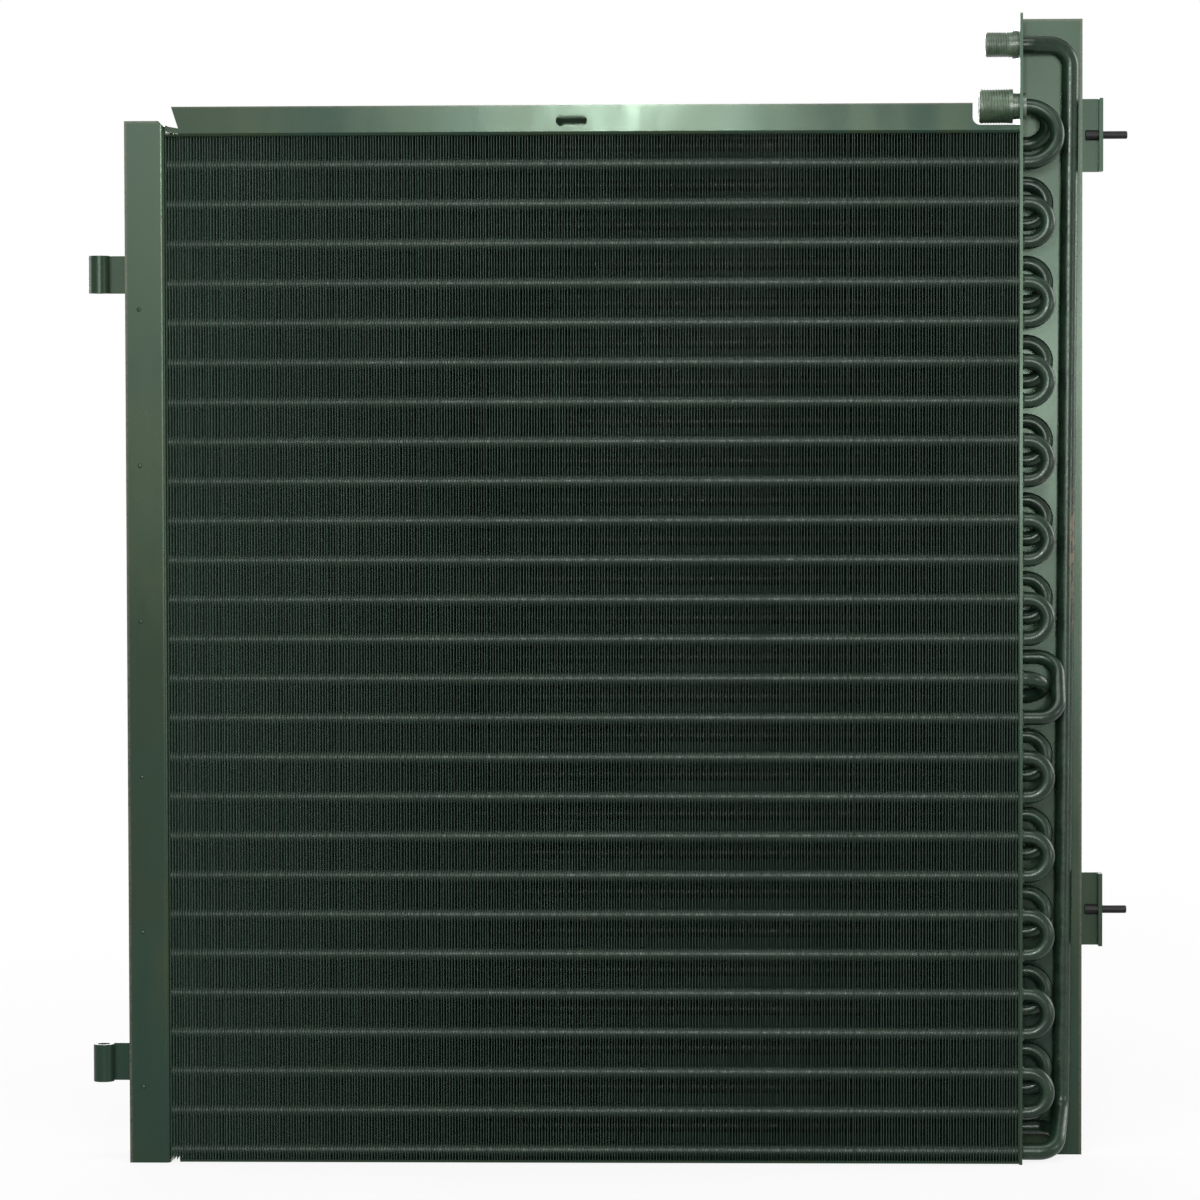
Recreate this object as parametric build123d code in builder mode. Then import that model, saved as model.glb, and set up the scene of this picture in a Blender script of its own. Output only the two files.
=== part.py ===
from build123d import *
import os

# Tube-and-fin condenser coil. All sizes in millimetres.
# X runs along the tubes, +Y to the back, +Z up. The origin is under the middle of the whole part.

# Tubes
tube_diameter = 9.52
tube_pitch = 25.4
row_spacing = 22.0
tubes_per_row = 26
tube_clearance = 0.1
tube_stub = 1.0
hairpin_lead = 1.5
return_lead = 3.0

# Fin pack
fin_length = 546.0
fin_cover = 6.24
fin_margin = 5.0
fin_lift = 2.0
fin_rib_pitch = 7.0
fin_rib_thickness = 3.2
fin_groove_margin = 1.14

# Sheet metal
plate_thickness = 2.0
plate_overlap = 1.0
bend_radius = 3.0
left_plate_rise = 10.3
left_flange_width = 26.2
left_corner_cut = 4.0
right_plate_rise = 17.6
right_flange_width = 42.9
trough_thickness = 1.5
trough_bend_radius = 2.5
trough_flange_height = 19.3
trough_left_gap = 4.0
trough_left_slope = 4.5
trough_tab_bottom = 3.6
trough_tab_height = 3.4
trough_tab_slant = 1.5
trough_right_notch = 30.0
trough_notch_depth = 14.0
trough_notch_radius = 5.0
trough_slot_length = 20.0
trough_slot_width = 7.0
trough_slot_offset = -12.5
trough_slot_height = 9.2
bottom_thickness = 1.5
bottom_left_gap = 6.0

# Refrigerant connections
inlet_rise = 18.7
inlet_thread_diameter = 21.9
inlet_thread_length = 21.5
inlet_neck_diameter = 16.8
inlet_neck_inner = 3.4
inlet_neck_outer = 3.2
inlet_bore_diameter = 14.0
inlet_socket_depth = 5.0
inlet_passage_diameter = 7.52
outlet_rise = 40.0
outlet_offset = 8.0
outlet_thread_diameter = 16.1
outlet_thread_length = 17.3
outlet_collar_diameter = 17.8
outlet_collar_length = 3.2
outlet_bore_diameter = 9.0
outlet_socket_depth = 6.0
thread_chamfer = 1.2
outlet_pipe_diameter = 11.1
outlet_pipe_clearance = 0.05
outlet_pipe_top_reach = 34.7
outlet_pipe_foot_reach = 29.2
outlet_pipe_foot_height = 34.0
outlet_elbow_reach = 24.0
outlet_bend_radius = 14.0
outlet_elbow_radius = 12.0
branch_reach = 17.0
branch_bend_radius = 8.0
branch_share = 0.55

# Circuit crossing in the middle of the coil
crossing_tube = 14
crossover_lead = 0.4
jumper_reach = 26.1
jumper_bend_radius = 13.0

# Hinge eyes on the left
strap_thickness = 2.5
strap_height = 24.0
strap_tail_under = 18.0
eye_diameter = 13.2
eye_bore_diameter = 8.2
eye_gap = 9.6
upper_eye_drop = 98.2
lower_eye_height = 65.3

# Stud brackets on the right
bracket_thickness = 2.5
bracket_height = 47.0
bracket_under = 12.0
bracket_reach = 12.8
bracket_lip = 12.0
bracket_corner_radius = 1.5
stud_diameter = 5.0
stud_seat_diameter = 6.4
stud_free_length = 15.9
stud_inner_gap = 2.0
stud_chamfer = 0.6
stud_clearance = 0.1
upper_stud_drop = 75.0
lower_stud_height = 160.2

# Places worked out from the sizes above
tube_radius = tube_diameter / 2
bore_radius = tube_radius + tube_clearance
half_length = fin_length / 2
fin_depth = row_spacing + tube_diameter + 2 * fin_cover
fin_groove_depth = fin_cover - tube_clearance - fin_groove_margin
plate_depth = fin_depth + 2 * plate_overlap
fin_bottom = fin_lift
front_row_bottom = fin_bottom + fin_margin
front_row_top = front_row_bottom + (tubes_per_row - 1) * tube_pitch
rear_row_top = front_row_top + tube_pitch / 2
fin_top = rear_row_top + fin_margin
fin_height = fin_top - fin_bottom
inlet_height = fin_top + inlet_rise
outlet_height = inlet_height + outlet_rise
left_plate_height = fin_top + left_plate_rise
right_plate_height = outlet_height + right_plate_rise
upper_eye_height = left_plate_height - upper_eye_drop
upper_stud_height = right_plate_height - upper_stud_drop

eye_overhang = eye_gap + eye_diameter
eye_setback = plate_thickness + strap_thickness - eye_diameter / 2
left_reach = half_length + left_flange_width + eye_overhang
right_reach = half_length + right_flange_width + bracket_reach + stud_free_length
front_reach = plate_depth / 2 - eye_setback + eye_diameter / 2
rear_reach = plate_depth / 2 + bracket_thickness

core_x = (left_reach - right_reach) / 2
core_y = (front_reach - rear_reach) / 2
left_face = core_x - half_length
right_face = core_x + half_length
left_web_outside = left_face - plate_thickness
right_web_outside = right_face + plate_thickness
plate_front = core_y - plate_depth / 2
plate_rear = core_y + plate_depth / 2
front_row_y = core_y - row_spacing / 2
rear_row_y = core_y + row_spacing / 2
tube_end = right_web_outside + tube_stub

# Edges are picked when they lie within this distance of a named place.
pick_margin = 0.01


def front_z(number):
    return front_row_top - (number - 1) * tube_pitch


def rear_z(number):
    return rear_row_top - (number - 1) * tube_pitch


def bend_plane(start, end, x_dir):
    """Plane of a bend whose ends are start and end and whose legs run along x_dir."""
    across = Vector(*end) - Vector(*start)
    middle = (Vector(*start) + Vector(*end)) * 0.5
    return Plane(origin=middle, x_dir=x_dir, z_dir=Vector(*x_dir).cross(across))


def add_return_bend(start, end, x_dir, leg):
    """Adds a round U-bend: a leg from each end along x_dir, joined by half a turn."""
    half = (Vector(*end) - Vector(*start)).length / 2
    with BuildLine(bend_plane(start, end, x_dir)) as path:
        Line((0, -half), (leg, -half))
        ThreePointArc((leg, -half), (leg + half, 0), (leg, half))
        Line((leg, half), (0, half))
    with BuildSketch(Plane(origin=path.line @ 0, z_dir=path.line % 0)) as section:
        Circle(tube_radius)
    sweep(section.sketch, path=path.line)


def add_pipe(points, radii, radius):
    """Adds a round pipe along straight runs joined by tangent bends."""
    with BuildLine() as path:
        FilletPolyline(*points, radius=radii)
    with BuildSketch(Plane(origin=path.line @ 0, z_dir=path.line % 0)) as section:
        Circle(radius)
    sweep(section.sketch, path=path.line)


def cut_tube_holes(face_x, thickness):
    """Cuts both rows of tube holes through a plate whose left face is at face_x."""
    numbers = range(1, tubes_per_row + 1)
    with BuildSketch(Plane.YZ.offset(face_x)) as holes:
        with Locations(*[(front_row_y, front_z(n)) for n in numbers]):
            Circle(bore_radius)
        with Locations(*[(rear_row_y, rear_z(n)) for n in numbers]):
            Circle(bore_radius)
    extrude(holes.sketch, amount=thickness, mode=Mode.SUBTRACT)


os.makedirs("parts", exist_ok=True)

# Fin pack: the stack of fins as one ribbed block, bored for every tube.
fin_ribs = int((fin_length - fin_rib_thickness) / fin_rib_pitch)
fin_groove_width = fin_rib_pitch - fin_rib_thickness
fin_groove_y = (fin_depth - fin_groove_depth) / 2
with BuildPart() as fin_pack:
    with BuildSketch(Plane.XY.offset(fin_bottom)):
        with Locations((core_x, core_y)):
            Rectangle(fin_length, fin_depth)
        for side in (-1, 1):
            with Locations((core_x, core_y + side * fin_groove_y)):
                with GridLocations(fin_rib_pitch, 0, fin_ribs, 1):
                    Rectangle(fin_groove_width, fin_groove_depth, mode=Mode.SUBTRACT)
    extrude(amount=fin_height)
    cut_tube_holes(left_face, fin_length)
fin_pack.part.label = "fin_pack"
export_step(fin_pack.part, "parts/fin_pack.step")

# Left end plate: a channel with both flanges turned away from the fins.
with BuildPart() as left_end_plate:
    with BuildSketch():
        with BuildLine():
            outer = left_face - left_flange_width
            Polyline(
                (outer, plate_front),
                (left_face, plate_front),
                (left_face, plate_rear),
                (outer, plate_rear),
                (outer, plate_rear - plate_thickness),
                (left_web_outside, plate_rear - plate_thickness),
                (left_web_outside, plate_front + plate_thickness),
                (outer, plate_front + plate_thickness),
                close=True,
            )
        make_face()
    extrude(amount=left_plate_height)
    upright = left_end_plate.edges().filter_by(Axis.Z)
    corners = upright.filter_by_position(Axis.X, left_face - pick_margin, left_face + pick_margin)
    fillet(corners, radius=bend_radius)
    inner = upright.filter_by_position(Axis.X, left_web_outside - pick_margin, left_web_outside + pick_margin)
    fillet(inner, radius=bend_radius - plate_thickness)
    with BuildSketch(Plane.XZ.offset(-plate_rear)):
        with BuildLine():
            Polyline(
                (left_face, left_plate_height),
                (left_face, left_plate_height - left_corner_cut),
                (left_face - left_corner_cut, left_plate_height),
                close=True,
            )
        make_face()
    extrude(amount=plate_depth, mode=Mode.SUBTRACT)
    cut_tube_holes(left_web_outside, plate_thickness)
left_end_plate.part.label = "left_end_plate"
export_step(left_end_plate.part, "parts/left_end_plate.step")

# Right end plate: an angle, taller than the left one, with a wide flange at the back.
with BuildPart() as right_end_plate:
    with BuildSketch():
        with BuildLine():
            outer = right_face + right_flange_width
            Polyline(
                (right_face, plate_front),
                (right_face, plate_rear),
                (outer, plate_rear),
                (outer, plate_rear - plate_thickness),
                (right_web_outside, plate_rear - plate_thickness),
                (right_web_outside, plate_front),
                close=True,
            )
        make_face()
    extrude(amount=right_plate_height)
    upright = right_end_plate.edges().filter_by(Axis.Z)
    rear = upright.filter_by_position(Axis.Y, plate_rear - pick_margin, plate_rear + pick_margin)
    fillet(rear.sort_by(Axis.X)[0], radius=bend_radius)
    inner = upright.filter_by_position(
        Axis.Y, plate_rear - plate_thickness - pick_margin, plate_rear - plate_thickness + pick_margin
    )
    fillet(inner.sort_by(Axis.X)[0], radius=bend_radius - plate_thickness)
    cut_tube_holes(right_face, plate_thickness)
    with BuildSketch(Plane.YZ.offset(right_face)):
        with Locations((core_y, inlet_height)):
            Circle(inlet_neck_diameter / 2 + tube_clearance)
        with Locations((core_y + outlet_offset, outlet_height)):
            Circle(outlet_pipe_diameter / 2 + tube_clearance)
    extrude(amount=plate_thickness, mode=Mode.SUBTRACT)
right_end_plate.part.label = "right_end_plate"
export_step(right_end_plate.part, "parts/right_end_plate.step")

# Top plate: a trough that opens upward, so that a hose can lie along the top of the coil.
trough_bottom = fin_top
trough_top = trough_bottom + trough_flange_height
with BuildPart() as top_plate:
    with BuildSketch(Plane.YZ.offset(left_face)):
        with BuildLine():
            Polyline(
                (plate_front, trough_bottom),
                (plate_rear, trough_bottom),
                (plate_rear, trough_top),
                (plate_rear - trough_thickness, trough_top),
                (plate_rear - trough_thickness, trough_bottom + trough_thickness),
                (plate_front + trough_thickness, trough_bottom + trough_thickness),
                (plate_front + trough_thickness, trough_top),
                (plate_front, trough_top),
                close=True,
            )
        make_face()
    extrude(amount=fin_length)
    along = top_plate.edges().filter_by(Axis.X)
    low = along.filter_by_position(Axis.Z, trough_bottom - pick_margin, trough_bottom + pick_margin)
    fillet(low, radius=trough_bend_radius)
    notch_edge = right_face - trough_right_notch
    notch_floor = trough_top - trough_notch_depth
    tab_low = trough_bottom + trough_tab_bottom
    tab_high = tab_low + trough_tab_height
    gap_edge = left_face + trough_left_gap
    with BuildSketch(Plane.XZ.offset(-plate_rear)):
        with BuildLine():
            Polyline(
                (right_face, trough_top),
                (right_face, notch_floor),
                (notch_edge + trough_notch_radius, notch_floor),
            )
            RadiusArc(
                (notch_edge + trough_notch_radius, notch_floor),
                (notch_edge, notch_floor + trough_notch_radius),
                trough_notch_radius,
            )
            Polyline(
                (notch_edge, notch_floor + trough_notch_radius),
                (notch_edge, trough_top),
                (right_face, trough_top),
            )
        make_face()
        with BuildLine():
            Polyline(
                (left_face, trough_top),
                (gap_edge, trough_top),
                (gap_edge + trough_left_slope, tab_high - trough_tab_slant),
                (left_face, tab_high),
                close=True,
            )
        make_face()
        with BuildLine():
            Polyline(
                (left_face, trough_bottom + trough_thickness),
                (gap_edge + trough_left_slope, trough_bottom + trough_thickness),
                (gap_edge + trough_left_slope, tab_low - trough_tab_slant),
                (left_face, tab_low),
                close=True,
            )
        make_face()
    extrude(amount=plate_depth, mode=Mode.SUBTRACT)
    with BuildSketch(Plane.XZ.offset(-plate_front)):
        with Locations((core_x + trough_slot_offset, trough_bottom + trough_slot_height)):
            SlotOverall(trough_slot_length, trough_slot_width)
    extrude(amount=-trough_thickness, mode=Mode.SUBTRACT)
top_plate.part.label = "top_plate"
export_step(top_plate.part, "parts/top_plate.step")

# Bottom plate: a flat strip that closes the fins from below.
bottom_length = fin_length - bottom_left_gap
with BuildPart() as bottom_plate:
    with BuildSketch(Plane.XY.offset(fin_bottom - bottom_thickness)):
        with Locations((right_face - bottom_length / 2, core_y)):
            Rectangle(bottom_length, fin_depth)
    extrude(amount=bottom_thickness)
bottom_plate.part.label = "bottom_plate"
export_step(bottom_plate.part, "parts/bottom_plate.step")

# Hairpin tubes: each is one tube bent back on itself behind the left flange.
hairpin_start = left_web_outside - hairpin_lead
hairpin_run = tube_end - hairpin_start
for row_name, row_y, row_z in (
    ("front_hairpins", front_row_y, front_z),
    ("rear_hairpins", rear_row_y, rear_z),
):
    with BuildPart() as hairpins:
        for upper in range(1, tubes_per_row, 2):
            add_return_bend(
                (tube_end, row_y, row_z(upper)),
                (tube_end, row_y, row_z(upper + 1)),
                (-1, 0, 0),
                hairpin_run,
            )
    hairpins.part.label = row_name
    export_step(hairpins.part, f"parts/{row_name}.step")

# Return bends on the right join each hairpin to the next, except where the circuits cross.
for row_name, row_y, row_z in (
    ("front_return_bends", front_row_y, front_z),
    ("rear_return_bends", rear_row_y, rear_z),
):
    with BuildPart() as bends:
        for upper in range(2, tubes_per_row, 2):
            if upper != crossing_tube:
                add_return_bend(
                    (tube_end, row_y, row_z(upper)),
                    (tube_end, row_y, row_z(upper + 1)),
                    (1, 0, 0),
                    return_lead,
                )
    bends.part.label = row_name
    export_step(bends.part, f"parts/{row_name}.step")

# Crossover: from the front row down into the rear row.
with BuildPart() as crossover_bend:
    add_return_bend(
        (tube_end, front_row_y, front_z(crossing_tube)),
        (tube_end, rear_row_y, rear_z(crossing_tube + 1)),
        (1, 0, 0),
        crossover_lead,
    )
crossover_bend.part.label = "crossover_bend"
export_step(crossover_bend.part, "parts/crossover_bend.step")

# Jumper: from the rear row down into the front row, wide enough to clear the crossover.
jumper_x = right_face + jumper_reach
with BuildPart() as jumper_bend:
    add_pipe(
        [
            (tube_end, rear_row_y, rear_z(crossing_tube)),
            (jumper_x, rear_row_y, rear_z(crossing_tube)),
            (jumper_x, front_row_y, front_z(crossing_tube + 1)),
            (tube_end, front_row_y, front_z(crossing_tube + 1)),
        ],
        [jumper_bend_radius, jumper_bend_radius],
        tube_radius,
    )
jumper_bend.part.label = "jumper_bend"
export_step(jumper_bend.part, "parts/jumper_bend.step")

# Inlet manifold: one socket end that splits into a bend for each row.
inlet_socket_x = right_web_outside + inlet_neck_outer - inlet_socket_depth
with BuildPart() as inlet_manifold:
    for end in (
        (tube_end, front_row_y, front_z(1)),
        (tube_end, rear_row_y, rear_z(1)),
    ):
        add_return_bend((tube_end, core_y, inlet_height), end, (1, 0, 0), return_lead)
    with BuildSketch(Plane.YZ.offset(inlet_socket_x)):
        with Locations((core_y, inlet_height)):
            Circle(tube_radius)
    extrude(amount=tube_end - inlet_socket_x)
inlet_manifold.part.label = "inlet_manifold"
export_step(inlet_manifold.part, "parts/inlet_manifold.step")

# Inlet fitting: threaded spud whose neck passes through the end plate.
inlet_tip = right_face - inlet_neck_inner - inlet_thread_length
inlet_thread_radius = inlet_thread_diameter / 2
inlet_shoulder = right_face - inlet_neck_inner
inlet_neck_end = right_web_outside + inlet_neck_outer
inlet_axis = Plane(origin=(0, core_y, inlet_height), x_dir=(1, 0, 0), z_dir=(0, -1, 0))
with BuildPart() as inlet_fitting:
    with BuildSketch(inlet_axis):
        with BuildLine():
            Polyline(
                (inlet_tip, inlet_bore_diameter / 2),
                (inlet_tip, inlet_thread_radius - thread_chamfer),
                (inlet_tip + thread_chamfer, inlet_thread_radius),
                (inlet_shoulder, inlet_thread_radius),
                (inlet_shoulder, inlet_neck_diameter / 2),
                (inlet_neck_end, inlet_neck_diameter / 2),
                (inlet_neck_end, bore_radius),
                (inlet_socket_x, bore_radius),
                (inlet_socket_x, inlet_passage_diameter / 2),
                (inlet_shoulder, inlet_passage_diameter / 2),
                (inlet_shoulder, inlet_bore_diameter / 2),
                close=True,
            )
        make_face()
    revolve(axis=Axis((0, core_y, inlet_height), (1, 0, 0)))
inlet_fitting.part.label = "inlet_fitting"
export_step(inlet_fitting.part, "parts/inlet_fitting.step")

# Outlet pipe: from the outlet fitting down behind the bends to the lowest tubes of both rows.
outlet_y = core_y + outlet_offset
outlet_socket_x = right_face - outlet_socket_depth
pipe_y = plate_rear - plate_thickness - outlet_pipe_clearance - outlet_pipe_diameter / 2
outlet_foot = Vector(right_face + outlet_pipe_foot_reach, pipe_y, outlet_pipe_foot_height)
outlet_elbow = Vector(right_face + outlet_elbow_reach, front_row_y, front_z(tubes_per_row))
outlet_join = outlet_foot + (outlet_elbow - outlet_foot) * branch_share
outlet_knee_x = right_web_outside + outlet_bend_radius / 2
with BuildPart() as outlet_pipe:
    add_pipe(
        [
            (outlet_socket_x, outlet_y, outlet_height),
            (outlet_knee_x, outlet_y, outlet_height),
            (right_face + outlet_pipe_top_reach, pipe_y, outlet_height),
            tuple(outlet_foot),
            tuple(outlet_elbow),
            (tube_end, front_row_y, front_z(tubes_per_row)),
        ],
        [outlet_bend_radius, outlet_bend_radius, outlet_bend_radius, outlet_elbow_radius],
        outlet_pipe_diameter / 2,
    )
    add_pipe(
        [
            (tube_end, rear_row_y, rear_z(tubes_per_row)),
            (right_face + branch_reach, rear_row_y, rear_z(tubes_per_row)),
            tuple(outlet_join),
        ],
        [branch_bend_radius],
        tube_radius,
    )
outlet_pipe.part.label = "outlet_pipe"
export_step(outlet_pipe.part, "parts/outlet_pipe.step")

# Outlet fitting: threaded spud with a collar against the end plate.
outlet_tip = right_face - outlet_collar_length - outlet_thread_length
outlet_thread_radius = outlet_thread_diameter / 2
outlet_shoulder = right_face - outlet_collar_length
outlet_bore = outlet_pipe_diameter / 2 + tube_clearance
outlet_axis = Plane(origin=(0, outlet_y, outlet_height), x_dir=(1, 0, 0), z_dir=(0, -1, 0))
with BuildPart() as outlet_fitting:
    with BuildSketch(outlet_axis):
        with BuildLine():
            Polyline(
                (outlet_tip, outlet_bore_diameter / 2),
                (outlet_tip, outlet_thread_radius - thread_chamfer),
                (outlet_tip + thread_chamfer, outlet_thread_radius),
                (outlet_shoulder, outlet_thread_radius),
                (outlet_shoulder, outlet_collar_diameter / 2),
                (right_face, outlet_collar_diameter / 2),
                (right_face, outlet_bore),
                (outlet_socket_x, outlet_bore),
                (outlet_socket_x, outlet_bore_diameter / 2),
                close=True,
            )
        make_face()
    revolve(axis=Axis((0, outlet_y, outlet_height), (1, 0, 0)))
outlet_fitting.part.label = "outlet_fitting"
export_step(outlet_fitting.part, "parts/outlet_fitting.step")

# Hinge straps: a flat tail behind the left front flange, rolled forward into an eye.
flange_edge = left_face - left_flange_width
tail_front = plate_front + plate_thickness
tail_rear = tail_front + strap_thickness
eye_x = flange_edge - eye_gap - eye_diameter / 2
eye_y = tail_rear - eye_diameter / 2
tail_end = flange_edge + strap_tail_under
for strap_name, eye_height in (
    ("upper_hinge_strap", upper_eye_height),
    ("lower_hinge_strap", lower_eye_height),
):
    with BuildPart() as strap:
        with BuildSketch(Plane.XY.offset(eye_height - strap_height / 2)):
            with Locations((eye_x, eye_y)):
                Circle(eye_diameter / 2)
            with BuildLine():
                Polyline(
                    (eye_x, tail_front),
                    (tail_end, tail_front),
                    (tail_end, tail_rear),
                    (eye_x, tail_rear),
                    close=True,
                )
            make_face()
            with Locations((eye_x, eye_y)):
                Circle(eye_bore_diameter / 2, mode=Mode.SUBTRACT)
        extrude(amount=strap_height)
    strap.part.label = strap_name
    export_step(strap.part, f"parts/{strap_name}.step")

# Stud brackets: small angles on the back of the right flange. Each lip holds the seat of a stepped stud.
right_flange_edge = right_face + right_flange_width
bracket_end = right_flange_edge + bracket_reach
lip_left = bracket_end - bracket_thickness
bracket_rear = plate_rear + bracket_thickness
lip_front = bracket_rear - bracket_lip
stud_radius = stud_diameter / 2
stud_seat_radius = stud_seat_diameter / 2
stud_y = plate_rear - stud_seat_radius - stud_clearance
for place, stud_height in (("upper", upper_stud_height), ("lower", lower_stud_height)):
    with BuildPart() as bracket:
        with BuildSketch(Plane.XY.offset(stud_height - bracket_height / 2)):
            with BuildLine():
                Polyline(
                    (right_flange_edge - bracket_under, plate_rear),
                    (lip_left, plate_rear),
                    (lip_left, lip_front),
                    (bracket_end, lip_front),
                    (bracket_end, bracket_rear),
                    (right_flange_edge - bracket_under, bracket_rear),
                    close=True,
                )
            make_face()
        extrude(amount=bracket_height)
        upright = bracket.edges().filter_by(Axis.Z)
        outer_corner = upright.sort_by(Axis.X)[-2:].sort_by(Axis.Y)[-1]
        fillet(outer_corner, radius=bracket_corner_radius)
        with BuildSketch(Plane.YZ.offset(lip_left)):
            with Locations((stud_y, stud_height)):
                Circle(stud_seat_radius + stud_clearance)
        extrude(amount=bracket_thickness, mode=Mode.SUBTRACT)
    bracket.part.label = f"{place}_stud_bracket"
    export_step(bracket.part, f"parts/{place}_stud_bracket.step")

    with BuildPart() as stud:
        with BuildSketch(Plane.YZ.offset(right_flange_edge + stud_inner_gap)):
            with Locations((stud_y, stud_height)):
                Circle(stud_seat_radius)
        extrude(amount=bracket_reach - stud_inner_gap)
        with BuildSketch(Plane.YZ.offset(bracket_end)):
            with Locations((stud_y, stud_height)):
                Circle(stud_radius)
        extrude(amount=stud_free_length)
        tip = stud.edges().sort_by(Axis.X)[-1]
        chamfer(tip, length=stud_chamfer)
    stud.part.label = f"{place}_stud"
    export_step(stud.part, f"parts/{place}_stud.step")

print("origin to core centre", round(core_x, 3), round(core_y, 3))
print("hinge eye axis", round(eye_x, 3), round(eye_y, 3))
print("stud axis y", round(stud_y, 3), "tip x", round(bracket_end + stud_free_length, 3))
print("inlet tip x", round(inlet_tip, 3), "outlet tip x", round(outlet_tip, 3))
print("right face x", round(right_face, 3), "trough", trough_bottom, trough_top)
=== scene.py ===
import math

import bmesh
import bpy
from mathutils import Euler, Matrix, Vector


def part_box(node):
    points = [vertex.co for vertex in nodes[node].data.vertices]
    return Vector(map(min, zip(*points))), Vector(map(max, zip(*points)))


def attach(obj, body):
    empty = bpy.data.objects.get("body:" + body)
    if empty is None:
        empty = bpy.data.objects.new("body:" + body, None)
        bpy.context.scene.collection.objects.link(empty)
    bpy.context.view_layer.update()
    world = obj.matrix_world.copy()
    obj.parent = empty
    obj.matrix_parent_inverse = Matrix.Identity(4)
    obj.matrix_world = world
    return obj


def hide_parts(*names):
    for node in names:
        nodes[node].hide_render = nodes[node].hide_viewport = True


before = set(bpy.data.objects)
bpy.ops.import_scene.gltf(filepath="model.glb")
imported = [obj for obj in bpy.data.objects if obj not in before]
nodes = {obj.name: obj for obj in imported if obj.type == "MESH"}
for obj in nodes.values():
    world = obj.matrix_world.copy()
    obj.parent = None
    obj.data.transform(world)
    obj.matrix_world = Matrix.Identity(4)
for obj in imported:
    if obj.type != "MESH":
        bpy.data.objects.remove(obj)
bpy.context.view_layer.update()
print("frame loaded", len(nodes), "nodes")

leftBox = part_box("left_end_plate")
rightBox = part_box("right_end_plate")
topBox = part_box("top_plate")
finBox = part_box("fin_pack")

# What the photograph shows, in metres and degrees
cameraSet = {
    "place": (0.090, -2.93, 0.462),
    "aim": (-0.0063, -0.0199, 0.3628),
    "roll": -0.145,
    "lens": 136.5,
    "sensor": 36.0,
}
lampSet = {
    "key": {"place": (-0.08, -2.95, 0.94), "size": (0.12, 0.30), "power": 28.0},
    "leftWall": {"place": (-0.75, -3.05, 1.24), "size": (1.1, 1.3), "power": 20.0},
    "rightWall": {"place": (0.40, -3.05, 1.06), "size": (1.2, 1.4), "power": 19.0},
    "fill": {"place": (0.50, -2.95, 0.50), "size": (0.5, 0.36), "power": 13.0},
    "side": {"place": (2.6, -1.4, 0.34), "size": (0.7, 0.6), "power": 12.0},
    "top": {"place": (0.0, -1.2, 2.5), "size": (2.0, 1.0), "power": 32.0},
    "leftEnd": {"place": (-2.7, 0.7, 1.2), "size": (1.4, 1.4), "power": 34.0},
    "rightEnd": {"place": (2.7, 0.9, 1.2), "size": (1.4, 1.4), "power": 34.0},
    "back": {"place": (-0.5, 2.9, 1.3), "size": (2.0, 1.4), "power": 55.0},
}
worldSet = {"ambient": 0.16}
floorSet = {"reach": 14.0, "near": 0.5, "far": 3.0, "white": 0.86}


def rgb(red, green, blue):
    # a screen colour, 0 to 255, as the linear colour that a shader wants
    def linear(value):
        value /= 255
        return value / 12.92 if value <= 0.04045 else ((value + 0.055) / 1.055) ** 2.4
    return (linear(red), linear(green), linear(blue), 1.0)


class Wire:
    # one output socket; an expression on wires adds the Math nodes that it needs
    def __init__(self, tree, socket):
        self.tree = tree
        self.socket = socket

    def maths(self, operation, *others):
        values = dict(enumerate((self,) + others))
        return addNode(self.tree, "ShaderNodeMath", {"operation": operation}, values)

    def __add__(self, other):
        return self.maths("ADD", other)

    __radd__ = __add__

    def __mul__(self, other):
        return self.maths("MULTIPLY", other)

    __rmul__ = __mul__

    def __sub__(self, other):
        return self.maths("SUBTRACT", other)

    def __rsub__(self, other):
        return addNode(self.tree, "ShaderNodeMath", {"operation": "SUBTRACT"}, {0: other, 1: self})

    def __truediv__(self, other):
        return self.maths("DIVIDE", other)


def addNode(tree, kind, settings=None, values=None, output=0):
    # any node: its settings first, then the values or wires of its sockets
    node = tree.nodes.new(kind)
    for name, value in (settings or {}).items():
        setattr(node, name, value)
    for name, value in (values or {}).items():
        if isinstance(value, Wire):
            tree.links.new(value.socket, node.inputs[name])
        else:
            node.inputs[name].default_value = value
    return Wire(tree, node.outputs[output])


def objectPlace(tree):
    return addNode(tree, "ShaderNodeTexCoord", output=3)


def axesOf(tree, place):
    return [
        addNode(tree, "ShaderNodeSeparateXYZ", {}, {0: place}, output=number) for number in range(3)
    ]


def stretched(tree, place, scale):
    return addNode(tree, "ShaderNodeMapping", {}, {"Vector": place, "Scale": scale})


def noise(tree, place, scale, detail=3.0, roughness=0.55):
    values = {"Vector": place, "Scale": scale, "Detail": detail, "Roughness": roughness}
    return addNode(tree, "ShaderNodeTexNoise", {}, values)


def between(tree, value, low, high, toLow=0.0, toHigh=1.0):
    values = {"Value": value, "From Min": low, "From Max": high, "To Min": toLow, "To Max": toHigh}
    return addNode(tree, "ShaderNodeMapRange", {"interpolation_type": "SMOOTHSTEP"}, values)


def mixColour(tree, amount, first, second):
    # sockets 0, 6 and 7 of a colour Mix node are its factor and its two colours
    settings = {"data_type": "RGBA"}
    return addNode(tree, "ShaderNodeMix", settings, {0: amount, 6: first, 7: second}, output=2)


def newMaterial(name):
    material = bpy.data.materials.new(name)
    material.use_nodes = True
    tree = material.node_tree
    tree.nodes.clear()
    return material, tree


def closeMaterial(tree, colour, roughness, bump, strength, constants):
    values = {"Base Color": colour, "Roughness": roughness}
    values["Normal"] = addNode(
        tree, "ShaderNodeBump", {}, {"Strength": strength, "Distance": 0.0004, "Height": bump}
    )
    values.update(constants)
    shader = addNode(tree, "ShaderNodeBsdfPrincipled", {}, values)
    closeTree(tree, shader)


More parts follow.
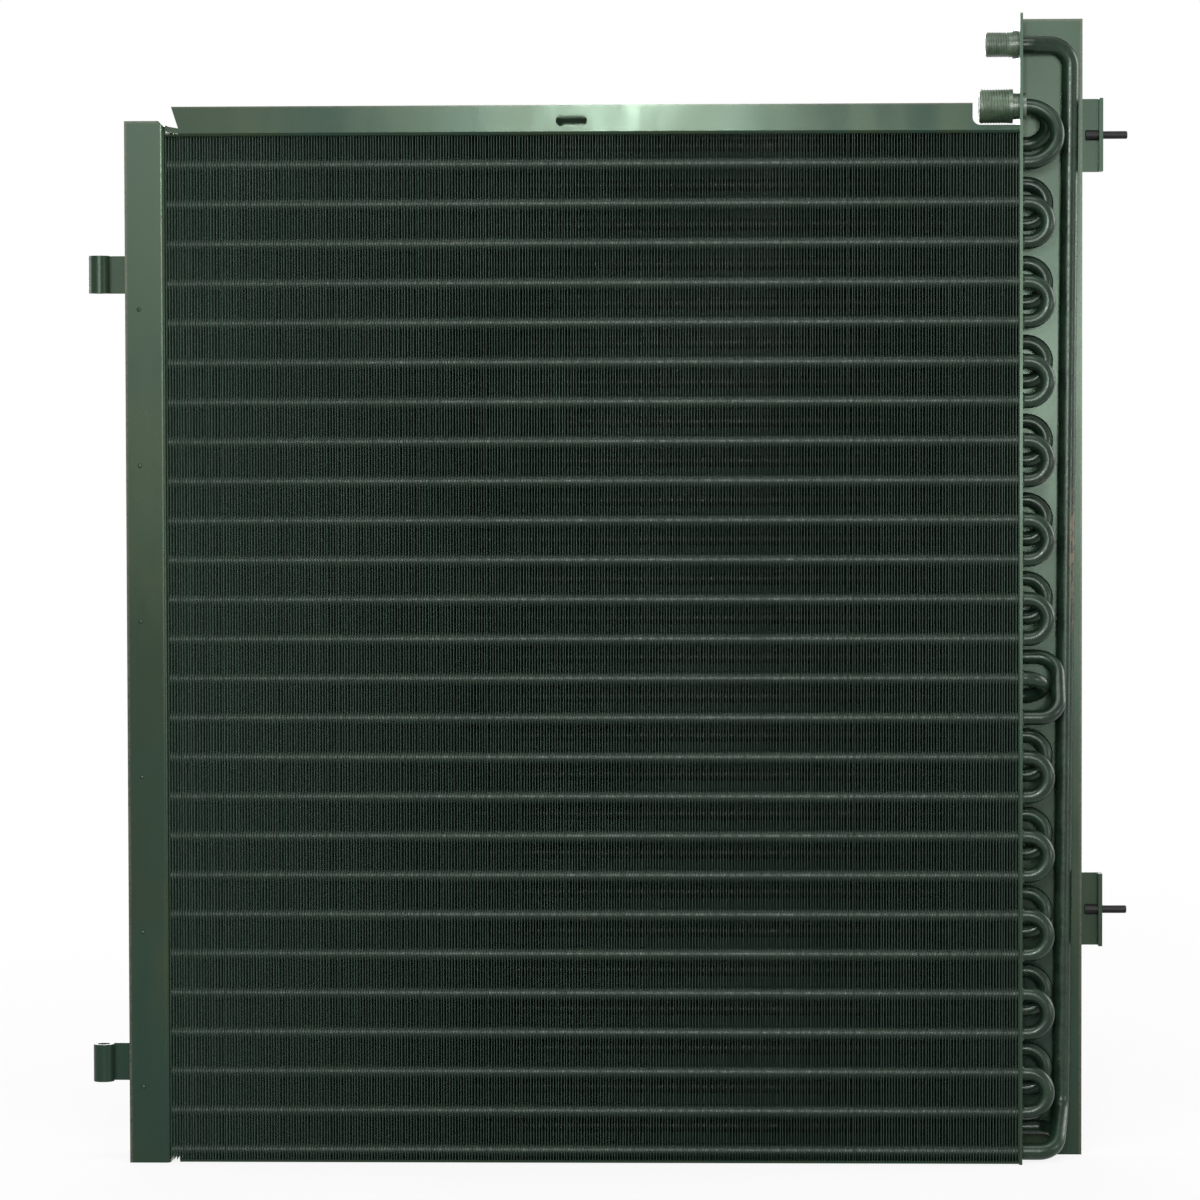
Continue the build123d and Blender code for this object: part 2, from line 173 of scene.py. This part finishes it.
def closeTree(tree, shader):
    end = tree.nodes.new("ShaderNodeOutputMaterial")
    tree.links.new(shader.socket, end.inputs["Surface"])


plateLook = {
    "green": rgb(31, 42, 30),
    "olive": rgb(36, 44, 27),
    "cool": rgb(26, 43, 35),
    "worn": rgb(78, 74, 66),
    "dust": rgb(52, 60, 47),
    "sheen": (0.74, 1.0, 0.78, 1.0),
    "roughness": 0.23,
    "gloss": 0.27,
}


def paintedPlate(name, wearEdges, dull=plateLook["roughness"], gloss=plateLook["gloss"]):
    # green enamel over folded sheet: cloudy tint, fine dust, orange peel and thin paint at cut edges
    material, tree = newMaterial(name)
    place = objectPlace(tree)
    x, y, z = axesOf(tree, place)
    cloud = noise(tree, place, 9.0, 2.0)
    patch = noise(tree, stretched(tree, place, (1.0, 1.0, 0.35)), 26.0, 3.0)
    dust = noise(tree, place, 420.0, 4.0, 0.7)
    peel = noise(tree, place, 520.0, 2.0, 0.4)
    colour = mixColour(tree, between(tree, cloud, 0.40, 0.62), plateLook["green"], plateLook["cool"])
    colour = mixColour(tree, between(tree, patch, 0.46, 0.68, 0.0, 0.75), colour, plateLook["olive"])
    colour = mixColour(tree, between(tree, dust, 0.58, 0.74, 0.0, 0.30), colour, plateLook["dust"])
    for axis, edge, width in wearEdges:
        away = {"x": x, "y": y, "z": z}[axis] - edge
        rim = between(tree, away.maths("ABSOLUTE") + (patch - 0.5) * 0.0012, 0.0004, width, 1.0, 0.0)
        ragged = between(tree, dust, 0.34, 0.56, 0.25, 0.85)
        colour = mixColour(tree, rim * ragged, colour, plateLook["worn"])
    roughness = between(tree, patch, 0.35, 0.7, dull - 0.03, dull + 0.05)
    bump = peel * 0.2 + dust * 0.1 + patch * 0.05
    constants = {"Specular IOR Level": gloss, "Specular Tint": plateLook["sheen"]}
    closeMaterial(tree, colour, roughness, bump, 0.16, constants)
    return material


tubeLook = {
    "green": rgb(24, 40, 29),
    "dark": rgb(16, 28, 20),
    "bronze": rgb(80, 70, 52),
    # the pale copper below is partly bare metal and partly a painted highlight on the outlet pipe's lit
    # side
    "bareAndGlint": rgb(150, 128, 108),
    "sheen": (0.86, 1.0, 0.88, 1.0),
    "wornAndLit": {"from": 0.365, "to": 0.425, "side": 0.2950, "strength": 0.3},
}


def paintedTube(name, dull, gloss, wornAndLit=False):
    # thin green paint on drawn copper: runs, thin spots where brown copper shows, and soft orange peel
    material, tree = newMaterial(name)
    place = objectPlace(tree)
    along = noise(tree, stretched(tree, place, (0.3, 1.0, 1.0)), 60.0, 3.0)
    runs = noise(tree, place, 240.0, 3.0, 0.6)
    spots = noise(tree, place, 85.0, 3.0, 0.65)
    colour = mixColour(tree, between(tree, along, 0.35, 0.65), tubeLook["green"], tubeLook["dark"])
    colour = mixColour(tree, between(tree, spots, 0.64, 0.74, 0.0, 0.55), colour, tubeLook["bronze"])
    if wornAndLit:
        # a pale copper stripe on the lit right side of the pipe: partly paint worn thin, partly a painted
        # highlight where the side lamp falls
        wearAndGlint = tubeLook["wornAndLit"]
        x, y, z = axesOf(tree, place)
        ragged = (spots - 0.5) * 0.08
        worn = between(tree, z + ragged, wearAndGlint["from"] - 0.03, wearAndGlint["from"] + 0.02)
        worn = worn * between(tree, z + ragged, wearAndGlint["to"] - 0.02, wearAndGlint["to"] + 0.03, 1.0, 0.0)
        worn = worn * between(tree, x, wearAndGlint["side"], wearAndGlint["side"] + 0.0016)
        worn = worn * between(tree, runs, 0.35, 0.6, 0.05, wearAndGlint["strength"])
        colour = mixColour(tree, worn, colour, tubeLook["bareAndGlint"])
    roughness = between(tree, runs, 0.3, 0.7, dull - 0.05, dull + 0.09)
    bump = runs * 0.6 + along * 0.5
    constants = {"Specular IOR Level": gloss, "Specular Tint": tubeLook["sheen"]}
    closeMaterial(tree, colour, roughness, bump, 0.4 if dull > 0.3 else 0.2, constants)
    return material


fittingLook = {"green": rgb(70, 88, 68), "shade": rgb(50, 66, 50), "roughness": 0.34}


def paintedFitting(name):
    # turned steel under thick paint, with lathe rings that still show through it
    material, tree = newMaterial(name)
    place = objectPlace(tree)
    x = axesOf(tree, place)[0]
    blotch = noise(tree, place, 130.0, 3.0)
    rings = (x * 5200.0).maths("SINE")
    colour = mixColour(tree, between(tree, blotch, 0.38, 0.66), fittingLook["green"], fittingLook["shade"])
    dull = fittingLook["roughness"]
    roughness = between(tree, blotch, 0.3, 0.7, dull - 0.05, dull + 0.06)
    closeMaterial(tree, colour, roughness, rings * 0.12 + blotch * 0.5, 0.25, {"Specular IOR Level": 0.65})
    return material


studLook = {"black": rgb(10, 12, 10), "grey": rgb(28, 30, 27), "roughness": 0.40}


def oiledSteel(name):
    # blackened steel, with paler rubbed places along the thread
    material, tree = newMaterial(name)
    place = objectPlace(tree)
    rub = noise(tree, place, 260.0, 3.0, 0.6)
    colour = mixColour(tree, between(tree, rub, 0.5, 0.72), studLook["black"], studLook["grey"])
    roughness = between(tree, rub, 0.3, 0.7, studLook["roughness"], studLook["roughness"] + 0.15)
    closeMaterial(tree, colour, roughness, rub, 0.25, {"Specular IOR Level": 0.2})
    return material


finPaintAndLightLook = {
    # green, dark and dusty are far paler than the real dark paint: painted light for the shaded gaps
    # between fins; edge is the paint's own colour
    "green": rgb(108, 136, 118),
    "dark": rgb(88, 116, 100),
    "dusty": rgb(114, 132, 114),
    "edge": rgb(40, 55, 46),
    "edgeDepth": 0.0006,
    "roughness": 0.5,
}
finSet = {
    "pitch": 0.0018,
    "thickness": 0.00017,
    "steps": 12,
    "bead": 0.0032,
    "beadStep": 9,
    "shake": 0.00012,
    "yaw": 0.5,
    "seed": 7,
}


def paintedFins(name):
    # every fin has its own tone, with dust that settled in upright streaks; the faces are painted much
    # paler than the real dark paint, painted light that brightens the shaded gaps between the fins
    material, tree = newMaterial(name)
    place = objectPlace(tree)
    x, y, z = axesOf(tree, place)
    number = (x / finSet["pitch"]).maths("ROUND")
    shade = addNode(tree, "ShaderNodeTexWhiteNoise", {"noise_dimensions": "1D"}, {"W": number})
    streak = noise(tree, stretched(tree, place, (1.0, 1.0, 0.06)), 170.0, 2.0)
    cloud = noise(tree, place, 14.0, 3.0)
    colour = mixColour(tree, shade * 0.8, finPaintAndLightLook["green"], finPaintAndLightLook["dark"])
    colour = mixColour(tree, between(tree, streak, 0.52, 0.75, 0.0, 0.35), colour, finPaintAndLightLook["dusty"])
    colour = mixColour(tree, between(tree, cloud, 0.4, 0.7, 0.0, 0.4), colour, finPaintAndLightLook["dark"])
    middle = (finBox[0].y + finBox[1].y) / 2
    outward = (y - middle).maths("ABSOLUTE")
    rim = (finBox[1].y - finBox[0].y) / 2 - finPaintAndLightLook["edgeDepth"]
    # the thin front and back rims keep the dark paint; the paler faces behind them are painted light
    colour = mixColour(tree, outward.maths("GREATER_THAN", rim) * 0.9, colour, finPaintAndLightLook["edge"])
    roughness = between(tree, cloud, 0.3, 0.7, finPaintAndLightLook["roughness"] - 0.06, finPaintAndLightLook["roughness"] + 0.1)
    closeMaterial(tree, colour, roughness, streak, 0.15, {"Specular IOR Level": 0.25})
    return material


leftPaint = paintedPlate("painted left plate", [
    ("x", leftBox[0].x, 0.0022), ("z", leftBox[1].z, 0.0020),
])
rightPaint = paintedPlate("painted right plate", [
    ("x", rightBox[1].x, 0.0022), ("z", rightBox[1].z, 0.0020),
])
topPaint = paintedPlate("painted trough", [("z", topBox[1].z, 0.0012)], 0.165, 0.16)
smallPaint = paintedPlate("painted brackets", [], 0.30, 0.20)
tubePaint = paintedTube("painted tube", 0.44, 0.55)
bendPaint = paintedTube("painted bends", 0.26, 0.3)
# the outlet pipe gets a painted highlight, mixed with wear, on its lit right side
pipePaint = paintedTube("rubbed outlet pipe", 0.26, 0.3, True)
fittingPaint = paintedFitting("painted fitting")
studFinish = oiledSteel("oiled steel")
finPaint = paintedFins("painted fins")

looks = {
    leftPaint: ["left_end_plate"],
    rightPaint: ["right_end_plate"],
    topPaint: ["top_plate", "bottom_plate"],
    smallPaint: ["upper_hinge_strap", "lower_hinge_strap", "upper_stud_bracket", "lower_stud_bracket"],
    tubePaint: ["front_hairpins", "rear_hairpins"],
    bendPaint: [
        "front_return_bends", "rear_return_bends", "crossover_bend", "jumper_bend", "inlet_manifold",
    ],
    pipePaint: ["outlet_pipe"],
    fittingPaint: ["inlet_fitting", "outlet_fitting"],
    studFinish: ["upper_stud", "lower_stud"],
}
for material, names in looks.items():
    for name in names:
        cad = nodes[name]
        cad.data.materials.clear()
        cad.data.materials.append(material)
print("paint on", sum(len(names) for names in looks.values()), "nodes")


class GeoTree:
    # a Geometry Nodes tree with named inputs, applied once to make a plain mesh
    def __init__(self, name, sizes):
        self.tree = bpy.data.node_groups.new(name, "GeometryNodeTree")
        self.tree.interface.new_socket("Geometry", in_out="OUTPUT", socket_type="NodeSocketGeometry")
        self.sizes = sizes
        self.keys = {}
        for key, value in sizes.items():
            kind = "NodeSocketInt" if isinstance(value, int) else "NodeSocketFloat"
            if isinstance(value, (tuple, Vector)):
                kind = "NodeSocketVector"
            socket = self.tree.interface.new_socket(key, in_out="INPUT", socket_type=kind)
            self.keys[key] = socket.identifier
        self.inputs = self.tree.nodes.new("NodeGroupInput")

    def size(self, key):
        return Wire(self.tree, self.inputs.outputs[key])

    def add(self, kind, settings=None, values=None, output=0):
        return addNode(self.tree, kind, settings, values, output)

    def make(self, name, geometry, material):
        real = self.add("GeometryNodeRealizeInstances", {}, {0: geometry})
        painted = self.add("GeometryNodeSetMaterial", {}, {"Geometry": real, "Material": material})
        end = self.tree.nodes.new("NodeGroupOutput")
        self.tree.links.new(painted.socket, end.inputs[0])
        piece = bpy.data.objects.new(name, bpy.data.meshes.new(name + "Start"))
        bpy.context.scene.collection.objects.link(piece)
        modifier = piece.modifiers.new("build", "NODES")
        modifier.node_group = self.tree
        for key, value in self.sizes.items():
            modifier[self.keys[key]] = tuple(value) if isinstance(value, Vector) else value
        bpy.context.view_layer.update()
        whole = piece.evaluated_get(bpy.context.evaluated_depsgraph_get())
        mesh = bpy.data.meshes.new_from_object(whole)
        piece.modifiers.clear()
        piece.data = mesh
        mesh.name = name
        if not mesh.materials:
            mesh.materials.append(material)
        return piece


def vector(geo, x=0.0, y=0.0, z=0.0):
    return geo.add("ShaderNodeCombineXYZ", {}, {0: x, 1: y, 2: z})


def makeFins():
    # thin plates side by side; a pressed bead near the back keeps anyone from seeing through
    low, high = finBox
    depth = high.y - low.y
    height = high.z - low.z
    count = int((high.x - low.x - finSet["thickness"]) / finSet["pitch"])
    run = count * finSet["pitch"]
    geo = GeoTree("fin stack", {
        "Fins": count + 1,
        "Pitch": finSet["pitch"],
        "Thickness": finSet["thickness"],
        "Depth": depth,
        "Height": height,
        "Bead": finSet["bead"],
        "Start": Vector(((low.x + high.x - run) / 2, (low.y + high.y) / 2, (low.z + high.z) / 2)),
    })
    plateSize = vector(geo, geo.size("Thickness"), geo.size("Depth"), geo.size("Height"))
    plate = geo.add("GeometryNodeMeshCube", {}, {
        "Size": plateSize, "Vertices X": 2, "Vertices Y": finSet["steps"] + 1, "Vertices Z": 2,
    })
    place = geo.add("GeometryNodeInputPosition")
    y = geo.add("ShaderNodeSeparateXYZ", {}, {0: place}, output=1)
    step = (y / geo.size("Depth") + 0.5) * finSet["steps"]
    onBead = (step - finSet["beadStep"]).maths("ABSOLUTE").maths("LESS_THAN", 0.5)
    pressed = geo.add("GeometryNodeSetPosition", {}, {
        "Geometry": plate, "Offset": vector(geo, onBead * geo.size("Bead")),
    })
    line = geo.add("GeometryNodeMeshLine", {}, {
        "Count": geo.size("Fins"), "Start Location": geo.size("Start"),
        "Offset": vector(geo, geo.size("Pitch")),
    })
    shake = finSet["shake"]
    jolt = geo.add("FunctionNodeRandomValue", {"data_type": "FLOAT_VECTOR"}, {
        0: (-shake, -shake * 0.4, 0.0), 1: (shake, shake * 0.4, 0.0), "Seed": finSet["seed"],
    })
    yaw = math.radians(finSet["yaw"])
    turn = geo.add("FunctionNodeRandomValue", {"data_type": "FLOAT_VECTOR"}, {
        0: (0.0, 0.0, -yaw), 1: (0.0, 0.0, yaw), "Seed": finSet["seed"] + 1,
    })
    loose = geo.add("GeometryNodeSetPosition", {}, {"Geometry": line, "Offset": jolt})
    turns = geo.add("FunctionNodeEulerToRotation", {}, {0: turn})
    fins = geo.add("GeometryNodeInstanceOnPoints", {}, {
        "Points": loose, "Instance": pressed, "Rotation": turns,
    })
    piece = geo.make("fin_stack", fins, finPaint)
    fitInside(piece, low, high)
    return piece


def fitInside(piece, low, high):
    # loose ends stay inside the box that the solid fills
    for vertex in piece.data.vertices:
        for axis in range(3):
            vertex.co[axis] = min(max(vertex.co[axis], low[axis]), high[axis])


finStack = makeFins()
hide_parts("fin_pack")
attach(finStack, "root")
print("fins", len(finStack.data.polygons), "faces")

tubeSet = {"pitch": 0.0254, "count": 26, "radius": 0.00476}
solderSet = {"height": 0.0011, "length": 0.0016, "around": 20}


def tubeRows():
    # the top tube of each row, from the boxes that its hairpins fill
    rows = []
    for name in ("front_hairpins", "rear_hairpins"):
        low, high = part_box(name)
        rows.append(Vector((high.x, (low.y + high.y) / 2, high.z - tubeSet["radius"])))
    return rows


def makeSolder():
    # a low cone of filler at every joint on the right plate, between the tube and the hole's edge
    geo = GeoTree("solder rings", {
        "Tubes": tubeSet["count"],
        "Pitch": tubeSet["pitch"],
        "Front": tubeRows()[0],
        "Rear": tubeRows()[1],
        "Back": solderSet["length"] * 0.65,
    })
    ring = geo.add("GeometryNodeMeshCone", {"fill_type": "NONE"}, {
        "Vertices": solderSet["around"], "Radius Top": tubeSet["radius"] + 0.0001,
        "Radius Bottom": tubeSet["radius"] + solderSet["height"], "Depth": solderSet["length"],
    })
    laid = geo.add("GeometryNodeTransform", {}, {
        "Geometry": ring, "Rotation": (0.0, math.pi / 2, 0.0),
    })
    joined = geo.tree.nodes.new("GeometryNodeJoinGeometry")
    for key in ("Rear", "Front"):
        line = geo.add("GeometryNodeMeshLine", {}, {
            "Count": geo.size("Tubes"), "Start Location": geo.size(key),
            "Offset": vector(geo, 0.0, 0.0, geo.size("Pitch") * -1.0),
        })
        moved = geo.add("GeometryNodeSetPosition", {}, {
            "Geometry": line, "Offset": vector(geo, geo.size("Back") * -1.0),
        })
        rings = geo.add("GeometryNodeInstanceOnPoints", {}, {"Points": moved, "Instance": laid})
        geo.tree.links.new(rings.socket, joined.inputs[0])
    return geo.make("solder_rings", Wire(geo.tree, joined.outputs[0]), bendPaint)


solderRings = makeSolder()
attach(solderRings, "root")
print("solder rings", len(solderRings.data.polygons), "faces")


def span(node, axis):
    low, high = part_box(node)
    return low[axis], high[axis]


rivetSet = {
    "count": 6,
    "first": 0.0490,
    "spacing": 0.1001,
    "inset": 0.0090,
    "head": 0.0030,
    "rise": 0.0007,
}


def makeRivets():
    # flat-headed rivets down the left flange
    edge = leftBox[0].x + rivetSet["inset"]
    geo = GeoTree("edge rivets", {
        "Rivets": rivetSet["count"],
        "Spacing": rivetSet["spacing"],
        "Head": rivetSet["head"],
        "Rise": rivetSet["rise"],
        "First": Vector((edge, leftBox[0].y, rivetSet["first"])),
    })
    ball = geo.add("GeometryNodeMeshUVSphere", {}, {"Segments": 20, "Rings": 10, "Radius": 0.5})
    flat = vector(geo, geo.size("Head"), geo.size("Rise") * 2.0, geo.size("Head"))
    head = geo.add("GeometryNodeTransform", {}, {"Geometry": ball, "Scale": flat})
    line = geo.add("GeometryNodeMeshLine", {}, {
        "Count": geo.size("Rivets"), "Start Location": geo.size("First"),
        "Offset": vector(geo, 0.0, 0.0, geo.size("Spacing")),
    })
    heads = geo.add("GeometryNodeInstanceOnPoints", {}, {"Points": line, "Instance": head})
    return geo.make("edge_rivets", heads, leftPaint)


edgeRivets = makeRivets()
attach(edgeRivets, "root")

weldSet = {
    "step": 0.0011,
    "radius": 0.0014,
    "shape": (1.15, 0.8, 0.75),
    "jitter": 0.25,
    "half": 0.0060,
    "fromEnd": 0.0090,
    "inset": 0.0020,
    "sheet": 0.0020,
    "seed": 21,
}


def makeWelds():
    # short welds: brackets to the back of the right plate, hinge tails to the back of the left flange
    runs = {}
    fromEnd = weldSet["fromEnd"]
    half = weldSet["half"]
    for name in ("upper_stud_bracket", "lower_stud_bracket"):
        x = span(name, 0)[0]
        y = rightBox[1].y + weldSet["radius"] * 0.35
        low, high = span(name, 2)
        for part, middle in (("top", high - fromEnd), ("foot", low + fromEnd)):
            runs[name + " " + part] = ((x, y, middle - half), (x, y, middle + half))
    for name in ("upper_hinge_strap", "lower_hinge_strap"):
        x = span(name, 0)[1]
        y = leftBox[0].y + weldSet["sheet"] + weldSet["radius"] * 0.5
        low, high = span(name, 2)
        inset = weldSet["inset"]
        runs[name + " end"] = ((x, y, low + inset), (x, y, high - inset))
    sizes = {"Step": weldSet["step"], "Radius": weldSet["radius"], "Shape": weldSet["shape"]}
    for name, (start, end) in runs.items():
        sizes[name + " from"] = Vector(start)
        sizes[name + " to"] = Vector(end)
    geo = GeoTree("weld beads", sizes)
    joined = geo.tree.nodes.new("GeometryNodeJoinGeometry")
    for name in runs:
        line = geo.add("GeometryNodeMeshLine", {"mode": "END_POINTS", "count_mode": "RESOLUTION"}, {
            "Resolution": geo.size("Step"), "Start Location": geo.size(name + " from"),
            "Offset": geo.size(name + " to"),
        })
        geo.tree.links.new(line.socket, joined.inputs[0])
    drop = geo.add("GeometryNodeMeshUVSphere", {}, {
        "Segments": 12, "Rings": 8, "Radius": geo.size("Radius"),
    })
    wide = geo.add("GeometryNodeTransform", {}, {
        "Geometry": drop, "Scale": geo.size("Shape"),
    })
    uneven = geo.add("FunctionNodeRandomValue", {"data_type": "FLOAT"}, {
        2: 1.0 - weldSet["jitter"], 3: 1.0, "Seed": weldSet["seed"],
    }, output=1)
    drops = geo.add("GeometryNodeInstanceOnPoints", {}, {
        "Points": Wire(geo.tree, joined.outputs[0]), "Instance": wide, "Scale": uneven,
    })
    return geo.make("weld_beads", drops, smallPaint)


weldBeads = makeWelds()
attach(weldBeads, "root")
print("rivets and welds", len(edgeRivets.data.polygons) + len(weldBeads.data.polygons), "faces")

inletSpud = {
    "thread": (0.0215, 0.01095), "chamfer": 0.0012, "pitch": 0.0018, "cut": 0.00034,
    "shape": [(0.0215, 0.0084), (0.0301, 0.0084), (0.0301, 0.00486), (0.0251, 0.00486),
              (0.0251, 0.00376), (0.0215, 0.00376), (0.0215, 0.0070)],
    "mouth": 0.0070,
}
outletSpud = {
    "thread": (0.0173, 0.00805), "chamfer": 0.0012, "pitch": 0.0016, "cut": 0.0003,
    "shape": [(0.0173, 0.0089), (0.0205, 0.0089), (0.0205, 0.00565), (0.0145, 0.00565),
              (0.0145, 0.0045)],
    "mouth": 0.0045,
}
spudSet = {"around": 64, "samples": 6, "runOut": 12, "endGap": 1.4, "steep": 1.5, "flat": 0.25}


def makeSpud(name, node, spud):
    # a ring of points for each place along the turned shape; on the thread the ring dips as a helix
    low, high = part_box(node)
    centreY = (low.y + high.y) / 2
    centreZ = (low.z + high.z) / 2
    length, radius = spud["thread"]
    rings = [(0.0, spud["mouth"], 0.0), (0.0, radius - spud["chamfer"], 0.0)]
    begin = spud["chamfer"]
    end = length - spud["chamfer"] * spudSet["endGap"]
    count = int((end - begin) / spud["pitch"] * spudSet["samples"])
    for index in range(count + 1):
        share = index / count
        fade = min(1.0, share * spudSet["runOut"], (1 - share) * spudSet["runOut"])
        rings.append((begin + (end - begin) * share, radius, spud["cut"] * fade))
    rings.append((length, radius, 0.0))
    rings += [(x, r, 0.0) for x, r in spud["shape"]]
    around = spudSet["around"]
    points = []
    for x, ringRadius, cut in rings:
        for step in range(around):
            turn = step / around
            wave = abs((x / spud["pitch"] - turn) % 1.0 - 0.5) * 2
            dip = cut * min(1.0, max(0.0, wave * spudSet["steep"] - spudSet["flat"]))
            angle = turn * 2 * math.pi
            reach = ringRadius - dip
            points.append((
                low.x + x, centreY + reach * math.cos(angle), centreZ + reach * math.sin(angle),
            ))
    faces = []
    for ring in range(len(rings)):
        after = (ring + 1) % len(rings)
        for step in range(around):
            side = (step + 1) % around
            faces.append((
                ring * around + step, ring * around + side, after * around + side, after * around + step,
            ))
    mesh = bpy.data.meshes.new(name)
    mesh.from_pydata(points, [], faces)
    mesh.materials.append(fittingPaint)
    piece = bpy.data.objects.new(name, mesh)
    bpy.context.scene.collection.objects.link(piece)
    work = bmesh.new()
    work.from_mesh(mesh)
    bmesh.ops.recalc_face_normals(work, faces=work.faces)
    work.to_mesh(mesh)
    work.free()
    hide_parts(node)
    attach(piece, "root")
    return piece


for spudName, node, spud in (
    ("inlet_spud", "inlet_fitting", inletSpud),
    ("outlet_spud", "outlet_fitting", outletSpud),
):
    print(spudName, len(makeSpud(spudName, node, spud).data.polygons), "faces")


def makeCamera():
    data = bpy.data.cameras.new("camera")
    data.lens = cameraSet["lens"]
    data.sensor_width = cameraSet["sensor"]
    camera = bpy.data.objects.new("camera", data)
    bpy.context.scene.collection.objects.link(camera)
    place = Vector(cameraSet["place"])
    look = (Vector(cameraSet["aim"]) - place).to_track_quat("-Z", "Y")
    camera.rotation_mode = "QUATERNION"
    camera.rotation_quaternion = look @ Euler((0, 0, math.radians(cameraSet["roll"]))).to_quaternion()
    camera.location = place
    bpy.context.scene.camera = camera


def makeLamp(name, lamp, aim):
    data = bpy.data.lights.new(name, "AREA")
    data.shape = "RECTANGLE"
    data.size, data.size_y = lamp["size"]
    data.energy = lamp["power"]
    piece = bpy.data.objects.new(name, data)
    bpy.context.scene.collection.objects.link(piece)
    piece.location = lamp["place"]
    piece.rotation_mode = "QUATERNION"
    piece.rotation_quaternion = (Vector(aim) - piece.location).to_track_quat("-Z", "Y")
    piece.visible_camera = False


def seenRays(tree):
    # 1 for rays that show the background: from the camera, by reflection or through glass
    paths = tree.nodes.new("ShaderNodeLightPath")
    seen = Wire(tree, paths.outputs["Is Camera Ray"]) + Wire(tree, paths.outputs["Is Glossy Ray"])
    seen = seen + Wire(tree, paths.outputs["Is Transmission Ray"])
    return seen.maths("MINIMUM", 1.0)


def makeStage():
    world = bpy.data.worlds.new("studio")
    bpy.context.scene.world = world
    world.use_nodes = True
    tree = world.node_tree
    tree.nodes.clear()
    strength = between(tree, seenRays(tree), 0.0, 1.0, worldSet["ambient"], 1.0)
    light = addNode(tree, "ShaderNodeBackground", {}, {"Color": (1, 1, 1, 1), "Strength": strength})
    end = tree.nodes.new("ShaderNodeOutputWorld")
    tree.links.new(light.socket, end.inputs["Surface"])

    material, tree = newMaterial("pale floor")
    place = objectPlace(tree)
    x, y, z = axesOf(tree, place)
    away = (x * x + y * y).maths("SQRT")
    whiteShare = between(tree, away, floorSet["near"], floorSet["far"], floorSet["white"], 1.0)
    grey = noise(tree, place, 3.0, 2.0)
    colour = mixColour(tree, grey, rgb(222, 222, 222), rgb(228, 228, 227))
    matt = addNode(tree, "ShaderNodeBsdfDiffuse", {}, {"Color": colour})
    white = addNode(tree, "ShaderNodeEmission", {}, {"Color": (1, 1, 1, 1), "Strength": 1.0})
    seen = seenRays(tree) * whiteShare
    mixed = addNode(tree, "ShaderNodeMixShader", {}, {0: seen, 1: matt, 2: white})
    closeTree(tree, mixed)
    mesh = bpy.data.meshes.new("floor")
    reach = floorSet["reach"]
    corners = [(-reach, -reach, 0), (reach, -reach, 0), (reach, reach, 0), (-reach, reach, 0)]
    mesh.from_pydata(corners, [], [(0, 1, 2, 3)])
    mesh.materials.append(material)
    floor = bpy.data.objects.new("floor", mesh)
    bpy.context.scene.collection.objects.link(floor)


makeCamera()
for lampName, lamp in lampSet.items():
    makeLamp(lampName, lamp, (0.0, 0.0, 0.36))
makeStage()
bpy.context.scene.view_settings.view_transform = "Standard"
print("camera, lamps and floor ready")
